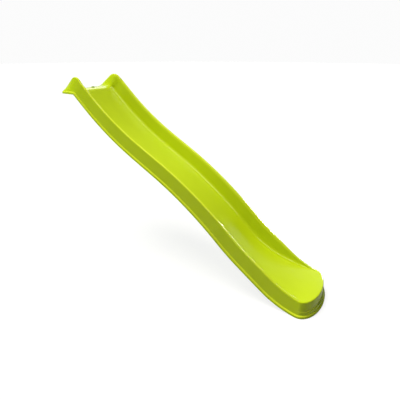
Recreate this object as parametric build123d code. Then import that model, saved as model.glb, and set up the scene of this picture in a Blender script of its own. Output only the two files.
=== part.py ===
from build123d import *
import math
import os

# A one-piece moulded wave slide with a garden-hose inlet in its entry lip.
# Frame: +X points down the slide, Y runs across it (the part is symmetric about Y = 0),
# +Z is up, and the ground is Z = 0. Units are millimetres.

# ---- Driving dimensions ------------------------------------------------------------------
WALL = 4.5                  # wall of the moulding
RIM_HEIGHT = 129.0          # hem to rim, square to the slope
TROUGH_DEPTH = 110.0        # rim to sliding floor, square to the slope
HALF_WIDTH_TOP = 239.0      # centreline of the slide to the middle of the rim, at the top
HALF_WIDTH_EXIT = 210.0     # the same at the exit
EXIT_HEIGHT = 121.0         # sliding surface above the ground at the exit

# The wave: each stretch of the rim is (length, slope at its end), slopes in degrees down.
TOP_SLOPE = 42.5
WAVE = [(170, 41.0), (560, 28.6), (225, 27.8), (790, 41.8), (225, 35.0), (225, 34.6)]
EXIT_STRETCH = (210, 11.0)  # the last curve of rim and hem before they level out
LEVEL_RADIUS = 150.0        # bend of the hem from that slope on to the ground
FLOOR_LEAVES = 1880.0       # way down the rim at which the floor starts its own run-out curve

# The entry: the hem lies on the deck, the lip rolls over into the floor, the rim makes a horn.
LIP_LENGTH = 138.0          # level part of the hem on the deck
DECK_BEND = 25.0            # bend of the hem from the deck to the slope
LIP_RADIUS = 106.0          # roll-over from the lip to the floor
CREST_RADIUS = 460.0        # gentle fall of the lip behind its crest
BACK_RADIUS = 14.0          # rolled back edge of the lip and of the side walls
HORN_RADIUS = 76.0          # round top of each side wall's horn
HORN_STRAIGHT = 55.0        # straight rim between the horn and the wave
HORN_BACK_SLOPE = 38.0      # fall of the horn towards the deck
HORN_BACK = 118.0           # length of that fall
HORN_LEAN = 26.0            # how far the rim leans in over the hem at the back edge
CREST_SLOPE = 11.0          # rise of the lip from its back edge towards its crest, degrees
ROLL_SLOPE = 75.0           # slope at which the rolled back edges start, degrees
FLARE_LEAN = 1.6            # extra lean of the inner wall at the back edge, where it swoops out
FLARE_FILLET = 130.0        # extra fillet between lip and wall there
FLARE_POWER = 4             # how fast both fade down the slide

# Cross section, as distances outward from the middle of the rim.
RIM_INNER = -10.0
RIM_OUTER = 8.0
SKIRT_FOOT = 19.0
HEM_OUTER = 31.0
HEM_HEIGHT = 16.0           # upright edge of the hem
SKIRT_FOOT_HEIGHT = 23.0    # where the skirt turns out into the hem
WALL_LEAN = 0.41            # run of the inner wall outward for each unit of height
FLOOR_FILLET = 42.0
RIM_FILLET = 8.0
HEM_FILLET = 5.0
LEAST_FILLET = 1.5          # inside corners of the hollow
FLOOR_SHARE = 0.6           # most of a low wall that the floor fillet takes
RIM_SHARE = 0.3             # and the rim fillet

# The nose at the exit: half ellipses that start where the straight sides end.
NOSE_LENGTH = 125.0
STEP_HEIGHT = 48.0          # ledge round the front of the nose; it fades out at the sides
FOOT_INSET = 12.0           # hem edge to the foot of the band under the ledge
STEP_INSETS = (14.5, 13.0)  # hem edge to the top of that band, at the sides and in front
UPPER_INSETS = (15.0, 19.0) # hem edge to the wall above the ledge, the same way
NOSE_TOP_FILLET = 7.0
RIM_END = 3.0               # rim above the sliding floor where it meets the nose
RIM_FADE = 110.0            # length over which the rim comes down to that

# Construction allowances.
PAST_BACK = 10.0            # hem line carried past the back edge
LEVEL_RUN = 200.0           # level line carried past the nose's start
HOLLOW_FOOT = 8.0           # the hollow is cut from this far below the hem
BACK_STATIONS = (0, 5, 15, 45, 90)
BEND_STATIONS = (0, 1 / 3, 2 / 3)
STATION_SPACING = 115.0
OVERLAP = 1.0               # a cutter or a joined piece passes a face by this much

# Deck screws and hose inlet, both in the lip.
SCREW_SPACING = 320.0
SCREW_HOLE_RADIUS = 4.0
BOSS_RADIUS = 11.0
SCREW_BACK = 100.0          # from the hem's bend line back to the screws
SCREW_REACH = 60.0          # clears the lip above the deck
INLET_HOLE_RADIUS = 10.6
SEAT_RADIUS = 19.0
SEAT_SINK = 1.5             # flat seat below the crest of the lip
SEAT_WALL = 6.5

# Hose inlet pieces. The stem has a G1/2 pipe thread, modelled as a plain cylinder.
STEM_RADIUS = 10.4
THREAD_PLAY = 0.1
STEM_LENGTH = 24.0
WATER_BORE = 4.6
HEAD_RADIUS = 16.0
HEAD_RIM = 3.5
HEAD_HEIGHT = 10.0
HEAD_ROOF = 4.0             # plastic over the water bore
JET_RADIUS = 2.0
JET_ANGLES = (-50, -25, 0, 25, 50)
GASKET = 2.0
GASKET_RADIUS = 15.0
NUT_HEIGHT = 6.0
NUT_ACROSS = 28.0
CAP_GAP = 0.5               # lock nut to the connector's cap
CAP_HEIGHT = 17.0
CAP_RADIUS = 15.5
CAP_GRIPS = 16
GRIP_RADIUS = 1.2
GRIP_FOOT = 2.0             # plain band under the grips
WASHER = 2.5
WASHER_RADIUS = 10.2
COUPLING_RADIUS = 8.0
COUPLING_LENGTH = 9.0
CATCH_GROOVE_RADIUS = 6.4
CATCH_GROOVE = 3.0          # length of the groove above the catch
CATCH_RADIUS = 7.4
CATCH_LENGTH = 3.0
TIP_RADIUS = 6.2
TIP_LENGTH = 7.0
SEAL_BACK = 3.5             # catch to the middle of the seal ring
SEAL_GROOVE_RADIUS = 4.8
SEAL_RING_RADIUS = 6.1
SEAL_RING_SECTION = 1.25
SEAL_PLAY = 0.1
CONNECTOR_BORE = 3.0


# ---- Side profiles -----------------------------------------------------------------------
# A profile is a chain of arcs in the XZ plane: [x, z, slope, length, end slope], in radians.
def chain(x, z, slope, stretches):
    links = []
    for length, end in stretches:
        links.append((x, z, slope, length, end))
        x, z = along(links[-1], length)
        slope = end
    return links


def along(link, s):
    x, z, slope, length, end = link
    turn = (end - slope) * s / length
    if abs(turn) < 1e-9:
        return x + s * math.cos(slope), z - s * math.sin(slope)
    radius = s / turn
    return (
        x + radius * (math.sin(slope + turn) - math.sin(slope)),
        z + radius * (math.cos(slope + turn) - math.cos(slope)),
    )


def end_of(links):
    return along(links[-1], links[-1][3])


def moved(links, dx, dz):
    return [(x + dx, z + dz, *rest) for x, z, *rest in links]


def height_over(links, x, z, tilt):
    """Height at which the profile crosses the section line through (x, z)."""
    for link in links:
        low, high = 0.0, link[3]
        if ahead(along(link, high), x, z, tilt) >= 0:
            for _ in range(50):
                mid = (low + high) / 2
                if ahead(along(link, mid), x, z, tilt) < 0:
                    low = mid
                else:
                    high = mid
            break
    px, pz = along(link, high)
    return (px - x) * math.sin(tilt) + (pz - z) * math.cos(tilt)


def ahead(point, x, z, tilt):
    return (point[0] - x) * math.cos(tilt) - (point[1] - z) * math.sin(tilt)


def radians(stretches):
    return [(length, math.radians(slope)) for length, slope in stretches]


def parallel(stretches, start, depth):
    """The same wave, a depth below the rim: outer bends get longer and inner bends shorter."""
    result, slope = [], start
    for length, end in stretches:
        result.append((length - depth * (end - slope), end))
        slope = end
    return result


steep = math.radians(TOP_SLOPE)
wave = radians(WAVE)
exit_length, exit_slope = radians([EXIT_STRETCH])[0]
last_slope = wave[-1][1]
run_out = [(exit_length, exit_slope), ((LEVEL_RADIUS - RIM_HEIGHT) * exit_slope, 0.0)]

# Rim and hem of the wave, placed so that the hem ends on the ground.
hem_run = chain(0, 0, steep, parallel(wave + run_out, steep, RIM_HEIGHT))
hem_run = moved(hem_run, 0, -end_of(hem_run)[1])
hem_x, hem_z = hem_run[0][:2]
rim_x = hem_x + RIM_HEIGHT * math.sin(steep)
rim_z = hem_z + RIM_HEIGHT * math.cos(steep)
rim_run = chain(rim_x, rim_z, steep, wave + run_out)

# The entry ends of the three profiles, built from the back edge and moved to meet the wave.
back_slope = -math.radians(HORN_BACK_SLOPE)
crest_slope = -math.radians(CREST_SLOPE)
roll_slope = -math.radians(ROLL_SLOPE)
rim_entry = chain(0, 0, roll_slope, [
    (BACK_RADIUS * (back_slope - roll_slope), back_slope),
    (HORN_BACK, back_slope),
    (HORN_RADIUS * (steep - back_slope), steep),
    (HORN_STRAIGHT, steep),
])
hem_entry = chain(0, 0, 0, [(LIP_LENGTH + PAST_BACK, 0), (DECK_BEND * steep, steep)])
floor_entry = chain(0, 0, roll_slope, [
    (BACK_RADIUS * (crest_slope - roll_slope), crest_slope),
    (-CREST_RADIUS * crest_slope, 0),
    (LIP_RADIUS * steep, steep),
])
floor_x = rim_x - TROUGH_DEPTH * math.sin(steep)
floor_z = rim_z - TROUGH_DEPTH * math.cos(steep)


def joined(entry, run):
    ex, ez = end_of(entry)
    return moved(entry, run[0][0] - ex, run[0][1] - ez) + run


# The floor follows the rim, then runs out on its own arc to the level exit.
floor_wave, covered, slope = [], 0.0, steep
for length, end in wave:
    if covered + length > FLOOR_LEAVES:
        part = (FLOOR_LEAVES - covered) / length
        end = slope + (end - slope) * part
        length = length * part
    floor_wave.append((length, end))
    covered, slope = covered + length, end
    if covered >= FLOOR_LEAVES:
        break
floor_run = chain(floor_x, floor_z, steep, parallel(floor_wave, steep, TROUGH_DEPTH))
drop = end_of(floor_run)[1] - EXIT_HEIGHT
out_radius = drop / (1 - math.cos(slope))
floor_run += chain(*end_of(floor_run), slope, [(out_radius * slope, 0.0), (LEVEL_RUN, 0.0)])

rim = joined(rim_entry, rim_run)
hem = joined(hem_entry, hem_run)
floor = joined(floor_entry, floor_run)
deck_z = hem[0][1]
bend_x = hem_x - DECK_BEND * math.sin(steep)
back_x = bend_x - LIP_LENGTH
nose_x = end_of(hem)[0]
rim += chain(*end_of(rim), 0.0, [(LEVEL_RUN, 0.0)])
hem += chain(*end_of(hem), 0.0, [(LEVEL_RUN, 0.0)])
tip_x = nose_x + NOSE_LENGTH


# ---- Cross sections ----------------------------------------------------------------------
def half_width(x):
    share = min(max((x - rim_x) / (nose_x - rim_x), 0), 1)
    return HALF_WIDTH_TOP + (HALF_WIDTH_EXIT - HALF_WIDTH_TOP) * share


def entry_share(x):
    """0 on the wave, growing to 1 at the back edge."""
    return min(max((rim_x - x) / (rim_x - back_x), 0), 1)


def rim_drop(x):
    """How far the rim has come down to the level of the floor, before the nose."""
    share = min(max(1 - (nose_x - x) / RIM_FADE, 0), 1)
    return (RIM_HEIGHT - EXIT_HEIGHT - RIM_END) * share * share * (3 - 2 * share)


def outline(x, rim_up, floor_up, inset, foot):
    """Closed section: the moulding filled down to its hem, shrunk by an inset."""
    width = half_width(x)
    ridge = width - HORN_LEAN * entry_share(x)
    flare = entry_share(x) ** FLARE_POWER
    lean = WALL_LEAN + FLARE_LEAN * flare
    spread = math.tan(math.atan(1 / lean) / 2)
    wall_up = rim_up - floor_up
    room = math.hypot(wall_up, lean * wall_up) / spread
    side = [
        (width + HEM_OUTER - inset, foot),
        (width + HEM_OUTER - inset, HEM_HEIGHT - inset),
        (width + SKIRT_FOOT - inset, SKIRT_FOOT_HEIGHT - inset),
        (ridge + RIM_OUTER - inset, rim_up - inset),
        (ridge + RIM_INNER + inset * spread, rim_up - inset),
        (ridge + RIM_INNER - lean * wall_up + inset * spread, floor_up - inset),
    ]
    points = side + [(-y, z) for y, z in reversed(side)]
    radii = [
        0,
        HEM_FILLET,
        HEM_FILLET,
        max(RIM_FILLET - inset, LEAST_FILLET),
        max(min(RIM_FILLET, RIM_SHARE * room) - inset, LEAST_FILLET),
        min(FLOOR_FILLET + FLARE_FILLET * flare, FLOOR_SHARE * room),
    ]
    return points, radii + radii[::-1]


def rounded(points, radii):
    """Edges of a closed polygon whose corners are rounded by tangent arcs."""
    count = len(points)
    starts, ends, middles = [], [], []
    for i, radius in enumerate(radii):
        corner = Vector(*points[i])
        before = (Vector(*points[i - 1]) - corner).normalized()
        after = (Vector(*points[(i + 1) % count]) - corner).normalized()
        half = before.get_angle(after) / 2
        reach = radius / math.tan(math.radians(half)) if radius else 0
        starts.append(corner + before * reach)
        ends.append(corner + after * reach)
        depth = radius / math.sin(math.radians(half)) - radius if radius else 0
        middles.append(corner + (before + after).normalized() * depth if radius else corner)
    edges = []
    for i, radius in enumerate(radii):
        if radius:
            edges.append(Edge.make_three_point_arc(starts[i], middles[i], ends[i]))
        edges.append(Edge.make_line(ends[i], starts[(i + 1) % count]))
    return edges


def section(x, z, tilt, inset, foot):
    rim_up = height_over(rim, x, z, tilt)
    floor_up = height_over(floor, x, z, tilt)
    rim_at = x + rim_up * math.sin(tilt)
    points, radii = outline(rim_at, rim_up - rim_drop(rim_at), floor_up, inset, foot)
    plane = Plane(
        origin=(x, 0, z),
        x_dir=(0, 1, 0),
        z_dir=(math.cos(tilt), 0, -math.sin(tilt)),
    )
    return plane * Face(Wire(rounded(points, radii)))


def stations():
    """Places of the sections down the hem: (x, z, tilt)."""
    places = [(back_x + behind, deck_z, 0.0) for behind in BACK_STATIONS]
    for share in BEND_STATIONS:
        tilt = steep * share
        places.append((
            bend_x + DECK_BEND * math.sin(tilt),
            deck_z - DECK_BEND * (1 - math.cos(tilt)),
            tilt,
        ))
    for link in hem_run:
        count = max(1, round(link[3] / STATION_SPACING))
        for i in range(count):
            s = link[3] * i / count
            tilt = link[2] + (link[4] - link[2]) * i / count
            places.append((*along(link, s), tilt))
    places.append((nose_x, 0.0, 0.0))
    return places


# ---- Nose at the exit --------------------------------------------------------------------
def half_ellipse(z, side_inset, front_inset, back=0.0):
    """Plan outline of the nose at one height, closed a little behind the nose's start."""
    wide = half_width(nose_x) + HEM_OUTER - side_inset
    deep = NOSE_LENGTH - front_inset
    edges = [EllipticalCenterArc((0, 0), wide, deep, start_angle=0, arc_size=180)]
    corners = [(-wide, 0), (-wide, -back), (wide, -back), (wide, 0)] if back else [(-wide, 0), (wide, 0)]
    edges += [Line(start, end) for start, end in zip(corners, corners[1:])]
    plane = Plane(origin=(nose_x, 0, z), x_dir=(0, -1, 0), z_dir=(0, 0, 1))
    return plane * make_face(edges)


def nose_block(levels, back=0.0):
    """Stack of tapered slabs between plan outlines, each given as (height, side and front inset)."""
    slabs = []
    for low, high in zip(levels, levels[1:]):
        if high[0] > low[0]:
            ends = [half_ellipse(*low, back), half_ellipse(*high, back)]
            slabs.append(loft(ends, ruled=True))
    return slabs[0].fuse(*slabs[1:])


def nose_levels(inset, lowest):
    """Heights and insets of the nose's outlines, shrunk by an inset."""
    top_inset = HEM_OUTER - RIM_OUTER
    levels = [
        (HEM_HEIGHT, 0, 0),
        (SKIRT_FOOT_HEIGHT, FOOT_INSET, FOOT_INSET),
        (STEP_HEIGHT, *STEP_INSETS),
        (STEP_HEIGHT, *UPPER_INSETS),
        (EXIT_HEIGHT, top_inset, top_inset),
    ]
    shrunk = [(z - inset, side + inset, front + inset) for z, side, front in levels]
    return [(lowest, inset, inset)] + shrunk


# ---- The moulding ------------------------------------------------------------------------
def upright(radius, low, high, x=0.0, y=0.0):
    """Cylinder about a vertical axis, between two heights."""
    middle = Pos(x, y, (low + high) / 2)
    return middle * Cylinder(radius, high - low)


places = stations()
filled = loft([section(*place, 0.0, 0.0) for place in places])
hollow_places = [(back_x + WALL, deck_z, 0.0)] + places[2:]
hollow = loft([section(*place, WALL, -HOLLOW_FOOT) for place in hollow_places])

nose = nose_block(nose_levels(0.0, 0.0))
top_edge = nose.edges().filter_by(lambda e: e.center().Z > EXIT_HEIGHT - 0.1).sort_by(Edge.length)[-1]
nose = fillet(top_edge, NOSE_TOP_FILLET)
nose = nose.cut(nose_block(nose_levels(WALL, -HOLLOW_FOOT), back=OVERLAP))
chute = filled.cut(hollow).fuse(nose)

# Screw bosses from the lip down to the deck, and the flat seat of the hose inlet.
screw_x = bend_x - SCREW_BACK
inlet_x, crest_z = floor[2][:2]
seat_z = crest_z - SEAT_SINK
under_z = seat_z - SEAT_WALL
for y in (-SCREW_SPACING / 2, SCREW_SPACING / 2):
    boss = upright(BOSS_RADIUS, deck_z, deck_z + SCREW_REACH, screw_x, y) & filled
    hole = upright(SCREW_HOLE_RADIUS, deck_z - OVERLAP, deck_z + SCREW_REACH, screw_x, y)
    chute = chute.fuse(boss).cut(hole)
chute = chute.fuse(upright(SEAT_RADIUS, under_z, seat_z - OVERLAP, inlet_x))
chute = chute.cut(upright(SEAT_RADIUS, seat_z, seat_z + SEAT_SINK + OVERLAP, inlet_x))
chute = chute.cut(upright(INLET_HOLE_RADIUS, under_z - OVERLAP, seat_z + OVERLAP, inlet_x))


# ---- Hose inlet, each piece about the inlet's own axis -----------------------------------
def inlet_nozzle():
    """Domed spray head on a threaded stem, with jets that point down the slide."""
    low = seat_z + GASKET
    dome = HEAD_HEIGHT - HEAD_RIM
    dome_radius = (HEAD_RADIUS**2 + dome**2) / (2 * dome)
    body = upright(HEAD_RADIUS, low, low + HEAD_HEIGHT)
    body &= Pos(0, 0, low + HEAD_HEIGHT - dome_radius) * Sphere(dome_radius)
    body += upright(STEM_RADIUS, low - STEM_LENGTH, low + OVERLAP)
    body -= upright(WATER_BORE, low - STEM_LENGTH - OVERLAP, low + HEAD_HEIGHT - HEAD_ROOF)
    jet = Pos(HEAD_RADIUS / 2 + OVERLAP, 0, 0) * Rot(0, 90, 0) * Cylinder(JET_RADIUS, HEAD_RADIUS)
    for angle in JET_ANGLES:
        body -= Pos(0, 0, low + JET_RADIUS + OVERLAP) * Rot(0, 0, angle) * jet
    return body


def inlet_gasket():
    ring = upright(GASKET_RADIUS, seat_z, seat_z + GASKET)
    return ring - upright(STEM_RADIUS + THREAD_PLAY, seat_z - OVERLAP, seat_z + GASKET + OVERLAP)


def inlet_lock_nut():
    low = under_z - NUT_HEIGHT
    nut = extrude(Pos(0, 0, low) * RegularPolygon(NUT_ACROSS / 2, 6, major_radius=False), NUT_HEIGHT)
    return nut - upright(STEM_RADIUS + THREAD_PLAY, low - OVERLAP, under_z + OVERLAP)


cap_top = under_z - NUT_HEIGHT - CAP_GAP
stem_end = seat_z + GASKET - STEM_LENGTH
cap_floor = stem_end - WASHER
cap_low = cap_top - CAP_HEIGHT
coupling_low = cap_low - COUPLING_LENGTH
catch_low = coupling_low - CATCH_GROOVE - CATCH_LENGTH
tip_low = catch_low - TIP_LENGTH
seal_z = catch_low - SEAL_BACK


def hose_connector():
    """Threaded cap over the stem, with a nose that a push-fit hose coupling clips on."""
    body = upright(CAP_RADIUS, cap_low, cap_top)
    grip = upright(GRIP_RADIUS, cap_low + GRIP_FOOT, cap_top + OVERLAP, CAP_RADIUS)
    for i in range(CAP_GRIPS):
        body -= Rot(0, 0, 360 * i / CAP_GRIPS) * grip
    body += upright(COUPLING_RADIUS, coupling_low, cap_low + OVERLAP)
    body += upright(CATCH_GROOVE_RADIUS, catch_low, coupling_low + OVERLAP)
    body += upright(CATCH_RADIUS, catch_low, catch_low + CATCH_LENGTH)
    body += upright(TIP_RADIUS, tip_low, catch_low + OVERLAP)
    groove = SEAL_RING_SECTION + SEAL_PLAY
    body -= upright(TIP_RADIUS + OVERLAP, seal_z - groove, seal_z + groove) - upright(
        SEAL_GROOVE_RADIUS, seal_z - groove, seal_z + groove
    )
    body -= upright(STEM_RADIUS + THREAD_PLAY, cap_floor, cap_top + OVERLAP)
    return body - upright(CONNECTOR_BORE, tip_low - OVERLAP, cap_floor + OVERLAP)


def connector_washer():
    ring = upright(WASHER_RADIUS, cap_floor, stem_end)
    return ring - upright(WATER_BORE, cap_floor - OVERLAP, stem_end + OVERLAP)


def hose_seal_ring():
    return Pos(0, 0, seal_z) * Torus(SEAL_RING_RADIUS, SEAL_RING_SECTION)


# ---- Export, with the origin on the ground under the middle of the part -------------------
inlet = Pos(inlet_x, 0, 0)
pieces = {
    "chute": chute,
    "inlet_nozzle": inlet * inlet_nozzle(),
    "inlet_gasket": inlet * inlet_gasket(),
    "inlet_lock_nut": inlet * inlet_lock_nut(),
    "hose_connector": inlet * hose_connector(),
    "connector_washer": inlet * connector_washer(),
    "hose_seal_ring": inlet * hose_seal_ring(),
}
shift = -(back_x + tip_x) / 2
os.makedirs("parts", exist_ok=True)
for name, piece in pieces.items():
    export_step(Pos(shift, 0, 0) * piece, f"parts/{name}.step")

print("deck height", round(deck_z, 2), "lip crest", round(crest_z, 2), "length", round(tip_x - back_x, 2))
print("screws at x", round(screw_x + shift, 2), "inlet at x", round(inlet_x + shift, 2))
print("seat z", round(seat_z, 2), "coupling from", round(coupling_low, 2), "to", round(cap_low, 2))
print("ground pad x", round(tip_x - WALL / 2 + shift, 2))
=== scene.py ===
import math

import bmesh
import bpy
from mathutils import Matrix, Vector


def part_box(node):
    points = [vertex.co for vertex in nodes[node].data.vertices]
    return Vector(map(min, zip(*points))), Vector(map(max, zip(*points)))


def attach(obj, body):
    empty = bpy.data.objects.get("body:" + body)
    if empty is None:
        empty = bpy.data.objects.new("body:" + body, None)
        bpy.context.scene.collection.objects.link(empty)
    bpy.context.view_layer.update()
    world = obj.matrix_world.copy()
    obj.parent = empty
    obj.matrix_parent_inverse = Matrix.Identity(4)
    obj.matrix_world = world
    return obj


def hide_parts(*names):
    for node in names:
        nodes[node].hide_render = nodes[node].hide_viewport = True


# A moulded green wave slide with a garden-hose inlet, on a plain pale floor.
# Metres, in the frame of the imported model: +X down the slide, Y across it, Z up from the ground.

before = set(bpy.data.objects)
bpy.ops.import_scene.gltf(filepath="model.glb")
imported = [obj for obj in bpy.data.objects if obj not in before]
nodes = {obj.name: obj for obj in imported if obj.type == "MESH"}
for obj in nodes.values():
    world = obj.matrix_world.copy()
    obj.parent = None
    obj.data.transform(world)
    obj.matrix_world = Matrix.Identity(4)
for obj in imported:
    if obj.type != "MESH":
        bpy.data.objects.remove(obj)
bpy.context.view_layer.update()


# ---- The slide's own lines: millimetres, along its length and up -------------------------
# These repeat the driving dimensions of the CAD model, apart from three: FLARE_POWER is 4 there,
# SKIRT_FOOT 19 and HEM_HEIGHT 16. Here the walls flare over a shorter length at the back edge,
# and the hem is narrower and its edge a little higher. The nose's front is drawn its own way
# too, by ledge(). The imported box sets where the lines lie.
MM = 0.001
WALL = 4.5
RIM_HEIGHT, TROUGH_DEPTH = 129.0, 110.0
HALF_WIDTH_TOP, HALF_WIDTH_EXIT = 239.0, 210.0
EXIT_HEIGHT = 121.0
TOP_SLOPE = 42.5
WAVE = [(170, 41.0), (560, 28.6), (225, 27.8), (790, 41.8), (225, 35.0), (225, 34.6)]
EXIT_STRETCH = (210, 11.0)
LEVEL_RADIUS = 150.0
FLOOR_LEAVES = 1880.0
LIP_LENGTH, DECK_BEND, LIP_RADIUS, CREST_RADIUS, BACK_RADIUS = 138.0, 25.0, 106.0, 460.0, 14.0
HORN_RADIUS, HORN_STRAIGHT, HORN_BACK_SLOPE, HORN_BACK, HORN_LEAN = 76.0, 55.0, 38.0, 118.0, 26.0
CREST_SLOPE, ROLL_SLOPE = 11.0, 75.0
FLARE_LEAN, FLARE_FILLET, FLARE_POWER = 1.6, 130.0, 7
RIM_INNER, RIM_OUTER, SKIRT_FOOT, HEM_OUTER = -10.0, 8.0, 22.0, 31.0
HEM_HEIGHT, SKIRT_FOOT_HEIGHT = 16.5, 23.0
WALL_LEAN, FLOOR_FILLET, RIM_FILLET, HEM_FILLET = 0.41, 42.0, 8.0, 5.0
FLOOR_SHARE, RIM_SHARE, LEAST_SHARE, LEAST_FILLET = 0.6, 0.3, 0.2, 1.5
NOSE_LENGTH, STEP_HEIGHT = 125.0, 48.0
RIM_END, RIM_FADE = 3.0, 110.0                   # rim over the floor at the nose; its run to that
RIM_DROP_FROM, RIM_DROP_OVER = 100.0, 24.0       # heights on the nose over which the rim drops
PAST_BACK, PAST_END = 10.0, 200.0                # lines drawn past the slide's two ends
BAND_IN, LEDGE_IN = -1.7, 4.3                    # how far in the nose's front is, at its step
STEP_ROUND, STEP_START = 1.8, 0.8                # height of the step's rounding; where it starts
RIM_LEVEL_ANGLE = 50.0                           # the rim is level with the floor by here
BACK_ROUNDING = (2.2, 0.7)                       # first sections shrunk, for a rounded edge
SCREW_SPACING, SCREW_HOLE_RADIUS, BOSS_RADIUS, SCREW_BACK = 320.0, 4.0, 11.0, 100.0
INLET_HOLE_RADIUS, SEAT_RADIUS, SEAT_SINK, SEAT_WALL = 10.6, 19.0, 1.5, 6.5


def along(link, s):
    """The point a length s down one arc or straight."""
    x, z, slope, length, end = link
    turn = (end - slope) * s / length
    if abs(turn) < 1e-9:
        return x + s * math.cos(slope), z - s * math.sin(slope)
    radius = s / turn
    return (x + radius * (math.sin(slope + turn) - math.sin(slope)),
            z + radius * (math.cos(slope + turn) - math.cos(slope)))


def chain(x, z, slope, stretches):
    """A line of arcs and straights, each stretch given as (length, slope at its end)."""
    links = []
    for length, end in stretches:
        links.append((x, z, slope, length, end))
        x, z = along(links[-1], length)
        slope = end
    return links


def end_of(links):
    return along(links[-1], links[-1][3])


def moved(links, dx, dz):
    return [(x + dx, z + dz, *rest) for x, z, *rest in links]


def joined(entry, run):
    """Two lines as one, the entry moved to end where the run starts."""
    ex, ez = end_of(entry)
    return moved(entry, run[0][0] - ex, run[0][1] - ez) + run


def parallel(stretches, start, depth):
    """The stretches of a line that keeps a depth under another."""
    result, slope = [], start
    for length, end in stretches:
        result.append((length - depth * (end - slope), end))
        slope = end
    return result


def radians(stretches):
    return [(length, math.radians(slope)) for length, slope in stretches]


def ahead(point, x, z, tilt):
    return (point[0] - x) * math.cos(tilt) - (point[1] - z) * math.sin(tilt)


def height_over(links, x, z, tilt):
    """Height at which a line crosses the section through (x, z)."""
    high = 0.0
    for link in links:
        low, high = 0.0, link[3]
        if ahead(along(link, high), x, z, tilt) >= 0:
            for _ in range(40):
                mid = (low + high) / 2
                if ahead(along(link, mid), x, z, tilt) < 0:
                    low = mid
                else:
                    high = mid
            break
    px, pz = along(link, high)
    return (px - x) * math.sin(tilt) + (pz - z) * math.cos(tilt)


steep = math.radians(TOP_SLOPE)
exit_length, exit_slope = radians([EXIT_STRETCH])[0]
run_out = [(exit_length, exit_slope), ((LEVEL_RADIUS - RIM_HEIGHT) * exit_slope, 0.0)]
wave = radians(WAVE)
hem_run = chain(0, 0, steep, parallel(wave + run_out, steep, RIM_HEIGHT))
hem_run = moved(hem_run, 0, -end_of(hem_run)[1])
hem_x, hem_z = hem_run[0][:2]
rim_x = hem_x + RIM_HEIGHT * math.sin(steep)
rim_z = hem_z + RIM_HEIGHT * math.cos(steep)
rim_run = chain(rim_x, rim_z, steep, wave + run_out)

back_slope, crest_slope, roll_slope = (
    -math.radians(a) for a in (HORN_BACK_SLOPE, CREST_SLOPE, ROLL_SLOPE))
rim_entry = chain(0, 0, roll_slope, [
    (BACK_RADIUS * (back_slope - roll_slope), back_slope), (HORN_BACK, back_slope),
    (HORN_RADIUS * (steep - back_slope), steep), (HORN_STRAIGHT, steep)])
hem_entry = chain(0, 0, 0, [(LIP_LENGTH + PAST_BACK, 0), (DECK_BEND * steep, steep)])
floor_entry = chain(0, 0, roll_slope, [
    (BACK_RADIUS * (crest_slope - roll_slope), crest_slope),
    (-CREST_RADIUS * crest_slope, 0), (LIP_RADIUS * steep, steep)])

# The floor follows the wave a trough's depth under the rim, then leaves it on one long arc
# that ends level at the exit.
floor_wave, covered, slope = [], 0.0, steep
for length, end in wave:
    if covered + length > FLOOR_LEAVES:
        part = (FLOOR_LEAVES - covered) / length
        end = slope + (end - slope) * part
        length = length * part
    floor_wave.append((length, end))
    covered, slope = covered + length, end
    if covered >= FLOOR_LEAVES:
        break
floor_run = chain(rim_x - TROUGH_DEPTH * math.sin(steep), rim_z - TROUGH_DEPTH * math.cos(steep),
                  steep, parallel(floor_wave, steep, TROUGH_DEPTH))
drop = end_of(floor_run)[1] - EXIT_HEIGHT
floor_run += chain(*end_of(floor_run), slope,
                   [(drop / (1 - math.cos(slope)) * slope, 0.0), (PAST_END, 0.0)])

rim_line, hem_line = joined(rim_entry, rim_run), joined(hem_entry, hem_run)
floor_line = joined(floor_entry, floor_run)
deck_z = hem_line[0][1]
bend_x = hem_x - DECK_BEND * math.sin(steep)
back_x = bend_x - LIP_LENGTH
nose_x = end_of(hem_line)[0]
rim_line += chain(*end_of(rim_line), 0.0, [(PAST_END, 0.0)])
chute_low, chute_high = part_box("chute")


def place(x, y, z):
    """Millimetres on the slide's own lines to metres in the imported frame, inside its top."""
    return (chute_low.x + (x - back_x) * MM, y * MM, min(chute_low.z + z * MM, chute_high.z))


# ---- Half sections: distance from the centreline, height over the hem ---------------------
def entry_share(x):
    return min(max((rim_x - x) / (rim_x - back_x), 0), 1)


def ease(share):
    share = min(max(share, 0.0), 1.0)
    return share * share * (3 - 2 * share)


def arc(corner, before, after, radius, count):
    """Points round a corner of a section, from the side of one neighbour to the other."""
    if radius <= 0:
        return [corner] * count
    c, a, b = (Vector(p) for p in (corner, before, after))
    a, b = (a - c).normalized(), (b - c).normalized()
    half = a.angle(b) / 2
    reach = radius / math.tan(half)
    centre = c + (a + b).normalized() * (radius / math.sin(half))
    start, finish = c + a * reach - centre, c + b * reach - centre
    turn = start.angle(finish)
    points = []
    for i in range(count):
        s = i / (count - 1)
        p = (start * math.sin((1 - s) * turn) + finish * math.sin(s * turn)) / math.sin(turn)
        points.append(tuple(centre + p))
    return points


FLOOR_COLUMNS, WALL_COLUMNS = 9, 3               # points over the flats of a half section
FLOOR_ARC, RIM_ARC_IN, RIM_ARC_OUT, HEM_ARC = 9, 5, 6, 5     # points round its corners
SKIRT_SHARES = (0.93, 0.75, 0.5, 0.33, 0.262, 0.25, 0.243, 0.238, 0.234, 0.228, 0.218, 0.20, 0.1)


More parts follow.
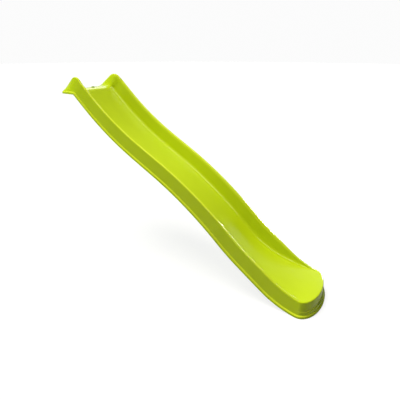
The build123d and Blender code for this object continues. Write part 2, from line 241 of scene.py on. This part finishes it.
def half_section(x, rim_up, floor_up, inset, foot):
    """From the middle of the floor out to the wall, over the rim and down to the hem's foot."""
    share = min(max((x - rim_x) / (nose_x - rim_x), 0), 1)
    width = HALF_WIDTH_TOP + (HALF_WIDTH_EXIT - HALF_WIDTH_TOP) * share
    ridge = width - HORN_LEAN * entry_share(x)
    flare = entry_share(x) ** FLARE_POWER
    lean = WALL_LEAN + FLARE_LEAN * flare
    spread = math.tan(math.atan(1 / lean) / 2)
    wall_up = rim_up - floor_up
    room = math.hypot(wall_up, lean * wall_up) / spread
    middle = (0.0, floor_up - inset)
    corner = (ridge + RIM_INNER - lean * wall_up + inset * spread, floor_up - inset)
    inner = (ridge + RIM_INNER + inset * spread, rim_up - inset)
    outer = (ridge + RIM_OUTER - inset, rim_up - inset)
    waist = (width + SKIRT_FOOT - inset, SKIRT_FOOT_HEIGHT - inset)
    edge = (width + HEM_OUTER - inset, HEM_HEIGHT - inset)
    base = (width + HEM_OUTER - inset, foot)
    floor_fillet = min(FLOOR_FILLET + FLARE_FILLET * flare, FLOOR_SHARE * room)
    inner_fillet = max(min(RIM_FILLET, RIM_SHARE * room) - inset,
                       min(LEAST_FILLET, LEAST_SHARE * room))
    outer_fillet = max(RIM_FILLET - inset, LEAST_FILLET)
    low = arc(corner, middle, inner, floor_fillet, FLOOR_ARC)
    top_in = arc(inner, corner, outer, inner_fillet, RIM_ARC_IN)
    top_out = arc(outer, inner, waist, outer_fillet, RIM_ARC_OUT)
    foot_in = arc(waist, outer, edge, HEM_FILLET, HEM_ARC)
    foot_out = arc(edge, waist, base, HEM_FILLET, HEM_ARC)
    points = [(low[0][0] * i / FLOOR_COLUMNS, floor_up - inset) for i in range(FLOOR_COLUMNS)]
    points += low
    for i in range(1, WALL_COLUMNS + 1):
        s = i / (WALL_COLUMNS + 1)
        points.append(tuple(low[-1][j] * (1 - s) + top_in[0][j] * s for j in (0, 1)))
    points += top_in + top_out
    for s in SKIRT_SHARES:
        points.append(tuple(waist[j] * (1 - s) + outer[j] * s for j in (0, 1)))
    points += foot_in + foot_out
    points.append((base[0], foot * 0.5 + foot_out[-1][1] * 0.5))
    points.append(base)
    return points


EDGE_ROWS, LIP_ROWS = (0, 0.8, 2.4, 4.5, 7, 10, 14, 19), range(26, 131, 8)  # from the back edge
BEND_ROWS, ROW_SPACING = 7, 18.0


def stations():
    """(x, z, tilt) down the hem, close together at the back edge and the lip."""
    places = [(back_x + behind, deck_z, 0.0) for behind in (*EDGE_ROWS, *LIP_ROWS)]
    for i in range(BEND_ROWS):
        tilt = steep * i / BEND_ROWS
        places.append((bend_x + DECK_BEND * math.sin(tilt),
                       deck_z - DECK_BEND * (1 - math.cos(tilt)), tilt))
    for link in hem_run:
        count = max(2, round(link[3] / ROW_SPACING))
        for i in range(count):
            s = i / count
            places.append((*along(link, link[3] * s), link[2] + (link[4] - link[2]) * s))
    places.append((nose_x, 0.0, 0.0))
    return places


HEM_EDGE = HALF_WIDTH_EXIT + HEM_OUTER
NOSE_ANGLES = (1.5, 4, 7, 10, 14, 18, 22, 26, 30, 34, 38, 42, 46, 50, 54, 58, 62, 66, 70, 74, 78,
               82, 85, 87.5, 90)
# Where the parts of a half section start, and which of its points get a painted highlight.
FIRST_RIM = FLOOR_COLUMNS + FLOOR_ARC + WALL_COLUMNS
FIRST_OUTSIDE = FIRST_RIM + RIM_ARC_IN
FIRST_SKIRT = FIRST_OUTSIDE + RIM_ARC_OUT
FIRST_HEM = FIRST_SKIRT + len(SKIRT_SHARES)
RIM_TOP = range(FIRST_RIM, FIRST_SKIRT - 1)
HEM_TOP = range(FIRST_HEM + 2, FIRST_HEM + 8)
NOSE_LEDGE = range(FIRST_SKIRT + 4, FIRST_SKIRT + 8)
HEM_HIGHLIGHT_PAINT, RIM_HIGHLIGHT_FADE = 0.9, 30.0              # painted highlight: the hem's share; the rim's fades over this many rows


def ledge(up):
    """How much further in than the straight skirt the front of the nose stands."""
    rise = min(max((up - SKIRT_FOOT_HEIGHT) / (STEP_HEIGHT - SKIRT_FOOT_HEIGHT), 0), 1)
    fall = min(max((up - STEP_HEIGHT) / (EXIT_HEIGHT - STEP_HEIGHT), 0), 1)
    step = ease((up - STEP_HEIGHT) / STEP_ROUND + STEP_START)
    return BAND_IN * rise + (LEDGE_IN - BAND_IN) * step - LEDGE_IN * fall


def nose_point(angle, index, half, inset):
    """A point of the last section, carried round the nose on its own half ellipse."""
    y, up = half[index]
    floor_up = half[0][1]
    level = ease(math.degrees(angle) / RIM_LEVEL_ANGLE)
    edge_y = y
    if index < FLOOR_COLUMNS:
        edge_y = half[FLOOR_COLUMNS][0]
    into = HEM_EDGE - edge_y
    if index >= FIRST_OUTSIDE:
        into += ledge(up + inset)
        up -= RIM_END * level * min(max((up - RIM_DROP_FROM) / RIM_DROP_OVER, 0), 1)
    else:
        up = floor_up + (up - floor_up) * (1 - level)
    return (nose_x + (NOSE_LENGTH - into) * math.sin(angle), y * math.cos(angle), up)


def skin(inset, behind):
    """Rows of points over the slide and round its nose, each from near hem to far hem."""
    rows = []
    for number, (x, z, tilt) in enumerate(stations()):
        if x < back_x + behind:
            continue
        rim_up = height_over(rim_line, x, z, tilt)
        floor_up = height_over(floor_line, x, z, tilt)
        rim_at = x + rim_up * math.sin(tilt)
        fall = (RIM_HEIGHT - EXIT_HEIGHT - RIM_END) * ease(1 - (nose_x - rim_at) / RIM_FADE)
        rounding = BACK_ROUNDING[number] if number < len(BACK_ROUNDING) and not inset else 0.0
        half = half_section(rim_at, rim_up - fall, floor_up, inset + rounding, 0.0)
        rows.append([(x + up * math.sin(tilt), y, z + up * math.cos(tilt)) for y, up in half])
    for degrees in NOSE_ANGLES:
        angle = math.radians(degrees)
        rows.append([nose_point(angle, index, half, inset) for index in range(len(half))])
    return [[place(x, -y, z) for x, y, z in row[:0:-1]] + [place(*p) for p in row] for row in rows]


def lip_height(x, y):
    """Height of the lip's surface over the deck at one place."""
    rim_up = height_over(rim_line, x, deck_z, 0.0)
    floor_up = height_over(floor_line, x, deck_z, 0.0)
    half = half_section(x, rim_up, floor_up, 0.0, 0.0)
    for (y0, up0), (y1, up1) in zip(half, half[1:]):
        if y0 <= abs(y) <= y1:
            return up0 + (up1 - up0) * (abs(y) - y0) / (y1 - y0)


def painted_highlight_amounts(rows, columns):
    """How much painted highlight each point of the outer skin gets, row by row: full on the nose's
    ledge, most on the hem's top, and on the rim's top fading out towards the nose.
    """
    straight = rows - len(NOSE_ANGLES)
    highlight_paint = []
    for row in range(rows):
        for column in range(columns):
            index = abs(column - (columns - 1) // 2)
            amount = 0.0
            if index in HEM_TOP:
                amount = HEM_HIGHLIGHT_PAINT
            elif index in NOSE_LEDGE and row > straight:
                amount = 1.0
            elif index in RIM_TOP:
                amount = ease((straight - row) / RIM_HIGHLIGHT_FADE)
            highlight_paint.append(amount)
    return highlight_paint


def closed_mesh(name, vertices, faces, highlight_paint=()):
    mesh = bpy.data.meshes.new(name)
    mesh.from_pydata(vertices, [], faces)
    # Each point's share of the painted highlight, a lighter green on the rim tops, hem top and nose
    # ledge.
    painted_highlight = mesh.attributes.new("painted_highlight", "FLOAT", "POINT")
    for value, amount in zip(painted_highlight.data, highlight_paint):
        value.value = amount
    shape = bmesh.new()
    shape.from_mesh(mesh)
    bmesh.ops.remove_doubles(shape, verts=shape.verts, dist=0.01 * MM)
    bmesh.ops.recalc_face_normals(shape, faces=shape.faces)
    shape.to_mesh(mesh)
    shape.free()
    thing = bpy.data.objects.new(name, mesh)
    bpy.context.scene.collection.objects.link(thing)
    return thing


def moulding():
    """The whole slide as one closed skin: an outer and an inner surface joined round the foot."""
    outer, inner = skin(0.0, 0.0), skin(WALL, WALL)
    columns, gap = len(outer[0]), len(outer) - len(inner)
    vertices = [v for row in outer + inner for v in row]

    def at(row, column):
        return row * columns + column

    def within(row, column):
        return (len(outer) + row - gap) * columns + column

    faces = []
    for row in range(len(outer) - 1):
        for column in range(columns - 1):
            faces.append((at(row, column), at(row, column + 1),
                          at(row + 1, column + 1), at(row + 1, column)))
            if row >= gap:
                faces.append((within(row, column), within(row + 1, column),
                              within(row + 1, column + 1), within(row, column + 1)))
        if row >= gap:
            for column in (0, columns - 1):
                faces.append((at(row, column), at(row + 1, column),
                              within(row + 1, column), within(row, column)))
    last = columns - 1
    faces.append([at(0, column) for column in range(columns)])
    faces.append([within(gap, column) for column in range(columns)])
    faces.append([at(row, 0) for row in range(gap + 1)] + [within(gap, 0), within(gap, last)]
                 + [at(row, last) for row in range(gap, -1, -1)])
    # Painted highlight along the rim tops, the hem's top and the nose's ledge.
    highlight_paint = painted_highlight_amounts(len(outer), columns)
    return closed_mesh("slide_moulding", vertices, faces, highlight_paint)


RING_COUNT = 40


def pillar(name, x, y, radius, low, high):
    """Upright cylinder; low and high are heights over the deck, or functions of the place."""
    count = RING_COUNT
    turns = [2 * math.pi * i / count for i in range(count)]
    ring = [(x + radius * math.cos(turn), y + radius * math.sin(turn)) for turn in turns]
    vertices = [place(px, py, deck_z + low) for px, py in ring]
    vertices += [place(px, py, deck_z + (high(px, py) if callable(high) else high))
                 for px, py in ring]
    faces = [[i, (i + 1) % count, count + (i + 1) % count, count + i] for i in range(count)]
    faces += [list(range(count))[::-1], list(range(count, 2 * count))]
    return closed_mesh(name, vertices, faces)


def combine(thing, tools, operation):
    """Join the tools to the thing's mesh, or cut them from it, and drop them."""
    for tool in tools:
        step = thing.modifiers.new(tool.name, "BOOLEAN")
        step.operation = operation
        step.solver = "EXACT"
        step.object = tool
    bpy.context.view_layer.update()
    evaluated = thing.evaluated_get(bpy.context.evaluated_depsgraph_get())
    mesh = bpy.data.meshes.new_from_object(evaluated)
    thing.modifiers.clear()
    thing.data = mesh
    for tool in tools:
        bpy.data.objects.remove(tool)


SMOOTH_ANGLE = 35.0
SEAT_OVERLAP, RECESS_HEIGHT, CUT_PAST, HOLE_TOP = 1.0, 5.0, 1.0, 60.0

slide = moulding()
screw_x = bend_x - SCREW_BACK
screw_ys = (-SCREW_SPACING / 2, SCREW_SPACING / 2)
inlet_x, crest_z = floor_line[2][:2]             # the lip is highest where its last arc starts
seat_up = crest_z - deck_z - SEAT_SINK
seat_foot = seat_up - SEAT_WALL
combine(slide, [pillar("seat", inlet_x, 0.0, SEAT_RADIUS, seat_foot, seat_up - SEAT_OVERLAP)] + [
    pillar("boss", screw_x, y, BOSS_RADIUS, 0.0, lambda px, py: lip_height(px, py) - WALL / 2)
    for y in screw_ys], "UNION")
combine(slide, [
    pillar("recess", inlet_x, 0.0, SEAT_RADIUS, seat_up, seat_up + RECESS_HEIGHT),
    pillar("bore", inlet_x, 0.0, INLET_HOLE_RADIUS, seat_foot - CUT_PAST, seat_up + CUT_PAST)] + [
    pillar("hole", screw_x, y, SCREW_HOLE_RADIUS, -CUT_PAST, HOLE_TOP)
    for y in screw_ys], "DIFFERENCE")
for polygon in slide.data.polygons:
    polygon.use_smooth = True
slide.data.set_sharp_from_angle(angle=math.radians(SMOOTH_ANGLE))
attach(slide, "root")
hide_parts("chute")


# ---- Node helpers ------------------------------------------------------------------------
def new_material(name):
    material = bpy.data.materials.new(name)
    material.use_nodes = True
    tree = material.node_tree
    return material, tree, tree.nodes["Principled BSDF"]


def add(tree, kind, **settings):
    node = tree.nodes.new(kind)
    for key, value in settings.items():
        if key in node.inputs:
            node.inputs[key].default_value = value
        else:
            setattr(node, key, value)
    return node


def noise(tree, scale, detail=3.0, roughness=0.5, vector=None):
    node = add(tree, "ShaderNodeTexNoise", Scale=scale, Detail=detail, Roughness=roughness)
    if vector is not None:
        tree.links.new(vector, node.inputs["Vector"])
    return node.outputs["Fac"]


def spread(tree, value, low, high, from_low=0.0, from_high=1.0):
    node = add(tree, "ShaderNodeMapRange")
    node.inputs["From Min"].default_value = from_low
    node.inputs["From Max"].default_value = from_high
    node.inputs["To Min"].default_value = low
    node.inputs["To Max"].default_value = high
    tree.links.new(value, node.inputs["Value"])
    return node.outputs["Result"]


def mix_colour(tree, factor, a, b):
    node = add(tree, "ShaderNodeMix", data_type="RGBA")
    tree.links.new(factor, node.inputs[0])
    for socket, colour in ((node.inputs[6], a), (node.inputs[7], b)):
        if isinstance(colour, tuple):
            socket.default_value = (*colour, 1.0)
        else:
            tree.links.new(colour, socket)
    return node.outputs[2]


def bump(tree, shader, height, distance, strength=1.0):
    node = add(tree, "ShaderNodeBump", Strength=strength, Distance=distance)
    tree.links.new(height, node.inputs["Height"])
    tree.links.new(node.outputs["Normal"], shader.inputs["Normal"])


def object_coordinates(tree):
    return add(tree, "ShaderNodeTexCoord").outputs["Object"]


def mix_shaders(tree, factor, first, second, output):
    both = add(tree, "ShaderNodeMixShader")
    tree.links.new(factor, both.inputs[0])
    tree.links.new(first.outputs[0], both.inputs[1])
    tree.links.new(second.outputs[0], both.inputs[2])
    tree.links.new(both.outputs[0], tree.nodes[output].inputs["Surface"])


# ---- Materials ---------------------------------------------------------------------------
# The third green is a painted highlight for the rim tops, hem top and nose ledge.
GREEN, GREEN_CLOUD, GREEN_HIGHLIGHT = (0.470, 0.600, 0.005), (0.490, 0.620, 0.006), (0.660, 0.760, 0.030)
HIGHLIGHT_SHARE = 0.8                                 # most of the painted highlight colour that is mixed in
NOZZLE, NUT, CONNECTOR = (0.30, 0.42, 0.03), (0.05, 0.05, 0.055), (0.12, 0.125, 0.13)
RUBBER = (0.02, 0.02, 0.022)


def slide_plastic():
    """Glossy moulded polyethylene: cloudy, faintly rippled, scuffed along the run, with a
    painted highlight in lighter green on its rim tops, hem top and nose ledge."""
    material, tree, shader = new_material("slide_plastic")
    where = object_coordinates(tree)
    cloud = noise(tree, 6.0, 2.0, 0.5, where)
    colour = mix_colour(tree, spread(tree, cloud, 0.0, 1.0, 0.3, 0.7), GREEN, GREEN_CLOUD)
    # Painted highlight: the lighter green mixed in on the rim tops, hem top and nose ledge.
    painted_highlight = add(tree, "ShaderNodeAttribute", attribute_name="painted_highlight")
    colour = mix_colour(tree, spread(tree, painted_highlight.outputs["Fac"], 0.0, HIGHLIGHT_SHARE), colour,
                        GREEN_HIGHLIGHT)
    tree.links.new(colour, shader.inputs["Base Color"])
    streaks = add(tree, "ShaderNodeMapping", Scale=(6.0, 180.0, 6.0))
    tree.links.new(where, streaks.inputs["Vector"])
    scuff = noise(tree, 1.0, 4.0, 0.6, streaks.outputs["Vector"])
    tree.links.new(spread(tree, scuff, 0.11, 0.19, 0.35, 0.75), shader.inputs["Roughness"])
    shader.inputs["IOR"].default_value = 1.5
    shader.inputs["Specular IOR Level"].default_value = 0.25
    ripple = noise(tree, 9.0, 1.0, 0.4, where)
    bump(tree, shader, ripple, 0.004, 0.25)
    return material


def plain_plastic(name, colour, roughness):
    """Matt plastic or rubber with a fine grain."""
    material, tree, shader = new_material(name)
    grain = noise(tree, 900.0, 2.0, 0.5, object_coordinates(tree))
    darker = tuple(c * 0.85 for c in colour)
    tree.links.new(mix_colour(tree, grain, darker, colour), shader.inputs["Base Color"])
    tree.links.new(spread(tree, grain, roughness - 0.06, roughness + 0.06),
                   shader.inputs["Roughness"])
    bump(tree, shader, grain, 0.0002, 0.3)
    return material


green = slide_plastic()
finishes = {
    "chute": green,
    "inlet_nozzle": plain_plastic("nozzle_plastic", NOZZLE, 0.35),
    "inlet_gasket": plain_plastic("seal_rubber", RUBBER, 0.6),
    "inlet_lock_nut": plain_plastic("nut_plastic", NUT, 0.5),
    "hose_connector": plain_plastic("connector_plastic", CONNECTOR, 0.45),
    "connector_washer": plain_plastic("washer_rubber", RUBBER, 0.6),
    "hose_seal_ring": plain_plastic("ring_rubber", RUBBER, 0.6),
}
for name, material in finishes.items():
    for slot in nodes[name].material_slots:
        slot.material = material
slide.data.materials.clear()
slide.data.materials.append(green)

# ---- Floor and light ---------------------------------------------------------------------
scene = bpy.context.scene
scene.view_settings.view_transform = "Standard"
scene.view_settings.look = "None"

FLOOR_RADIUS = 40.0
PAPER_GLOW, PAPER_SHARE = 1.4, 0.6               # light the camera sees in the floor; its share


def floor_paint():
    """Matt pale paint that looks near white to the camera, and lights the slide as if greyer."""
    material, tree, shader = new_material("floor_paint")
    grain = noise(tree, 3.0, 3.0, 0.5, object_coordinates(tree))
    tree.links.new(mix_colour(tree, grain, (0.42, 0.42, 0.42), (0.46, 0.46, 0.46)),
                   shader.inputs["Base Color"])
    shader.inputs["Roughness"].default_value = 0.9
    shader.inputs["Specular IOR Level"].default_value = 0.1
    glow = add(tree, "ShaderNodeEmission", Strength=PAPER_GLOW)
    share = add(tree, "ShaderNodeMath", operation="MULTIPLY")
    share.inputs[1].default_value = PAPER_SHARE
    tree.links.new(add(tree, "ShaderNodeLightPath").outputs["Is Camera Ray"], share.inputs[0])
    mix_shaders(tree, share.outputs[0], shader, glow, "Material Output")
    return material


bpy.ops.mesh.primitive_circle_add(vertices=96, radius=FLOOR_RADIUS, fill_type="NGON")
floor = bpy.context.object
floor.name = "floor"
floor.data.materials.append(floor_paint())

SKY_BRIGHT_SIDE = (-0.62, 0.78, 0.0)             # the sky is brighter this way
SKY_LOW, SKY_HIGH, SKY_FROM, SKY_TO = 0.08, 0.6, 0.2, 0.9
SKY_COLOUR, PAPER_WHITE = (0.88, 1.0, 0.92, 1.0), 0.97


def studio_sky():
    """Soft light all round; the camera sees it as the white of the studio's paper."""
    world = bpy.data.worlds.new("studio")
    world.use_nodes = True
    tree = world.node_tree
    ambient = tree.nodes["Background"]
    ambient.inputs["Color"].default_value = SKY_COLOUR
    towards = add(tree, "ShaderNodeVectorMath", operation="DOT_PRODUCT")
    towards.inputs[1].default_value = SKY_BRIGHT_SIDE
    tree.links.new(add(tree, "ShaderNodeTexCoord").outputs["Generated"], towards.inputs[0])
    tree.links.new(spread(tree, towards.outputs["Value"], SKY_LOW, SKY_HIGH, SKY_FROM, SKY_TO),
                   ambient.inputs["Strength"])
    paper = add(tree, "ShaderNodeBackground", Color=(1.0, 1.0, 1.0, 1.0), Strength=PAPER_WHITE)
    rays = add(tree, "ShaderNodeLightPath").outputs["Is Camera Ray"]
    mix_shaders(tree, rays, ambient, paper, "World Output")
    return world


scene.world = studio_sky()
middle = Vector((0.0, 0.0, 0.75))


def aim(thing, target):
    towards = Vector(target) - thing.location
    thing.rotation_euler = towards.to_track_quat("-Z", "Y").to_euler()


def hang(name, light, direction, distance):
    """A lamp in a direction from the middle of the slide, aimed at it."""
    lamp = bpy.data.objects.new(name, light)
    lamp.location = middle + Vector(direction).normalized() * distance
    aim(lamp, middle)
    scene.collection.objects.link(lamp)
    return lamp


def softbox(name, direction, distance, size, power, colour=(1.0, 1.0, 1.0)):
    light = bpy.data.lights.new(name, "AREA")
    light.shape = "RECTANGLE"
    light.size, light.size_y = size
    light.energy = power
    light.color = colour
    return hang(name, light, direction, distance)


key_light = bpy.data.lights.new("key", "SUN")
key_light.energy = 3.6
key_light.color = (1.0, 0.96, 0.88)
key_light.angle = math.radians(28.0)
hang("key", key_light, (-0.36, -0.13, 0.925), 6.0).visible_glossy = False

# Lamps that give the slide its light: direction, distance, size, power, colour.
for name, *setting in (
        ("fill", (-0.75, -0.62, 0.42), 3.0, (1.6, 1.6), 20.0, (0.90, 1.0, 0.90)),
        ("overhead", (0.50, -0.10, 1.65), 1.73, (0.8, 0.8), 11.0, (1.0, 0.97, 0.9))):
    softbox(name, *setting).visible_glossy = False
# Panels that only its gloss reflects: direction, distance, size, power.
for name, *setting in (
        ("low_panel", (1.08, 2.10, 0.32), 2.38, (0.8, 0.24), 60.0),
        ("top_panel", (0.80, -0.20, 2.40), 2.54, (0.6, 3.2), 50.0),
        ("lip_panel", (-2.64, 1.41, 1.21), 3.23, (1.6, 0.8), 2.2),
        ("crest_panel", (-0.66, 0.50, 0.62), 2.6, (1.1, 0.6), 7.0)):
    softbox(name, *setting).visible_diffuse = False

# ---- Camera ------------------------------------------------------------------------------
camera_data = bpy.data.cameras.new("camera")
camera_data.sensor_width = 36.0
camera_data.lens = 30.04
camera_data.shift_x = 0.0163
camera_data.shift_y = -0.0748
camera_data.dof.use_dof = False
camera = bpy.data.objects.new("camera", camera_data)
camera.location = (1.460, -2.149, 1.772)
aim(camera, (0.0418, 0.0, 0.8166))
scene.collection.objects.link(camera)
scene.camera = camera
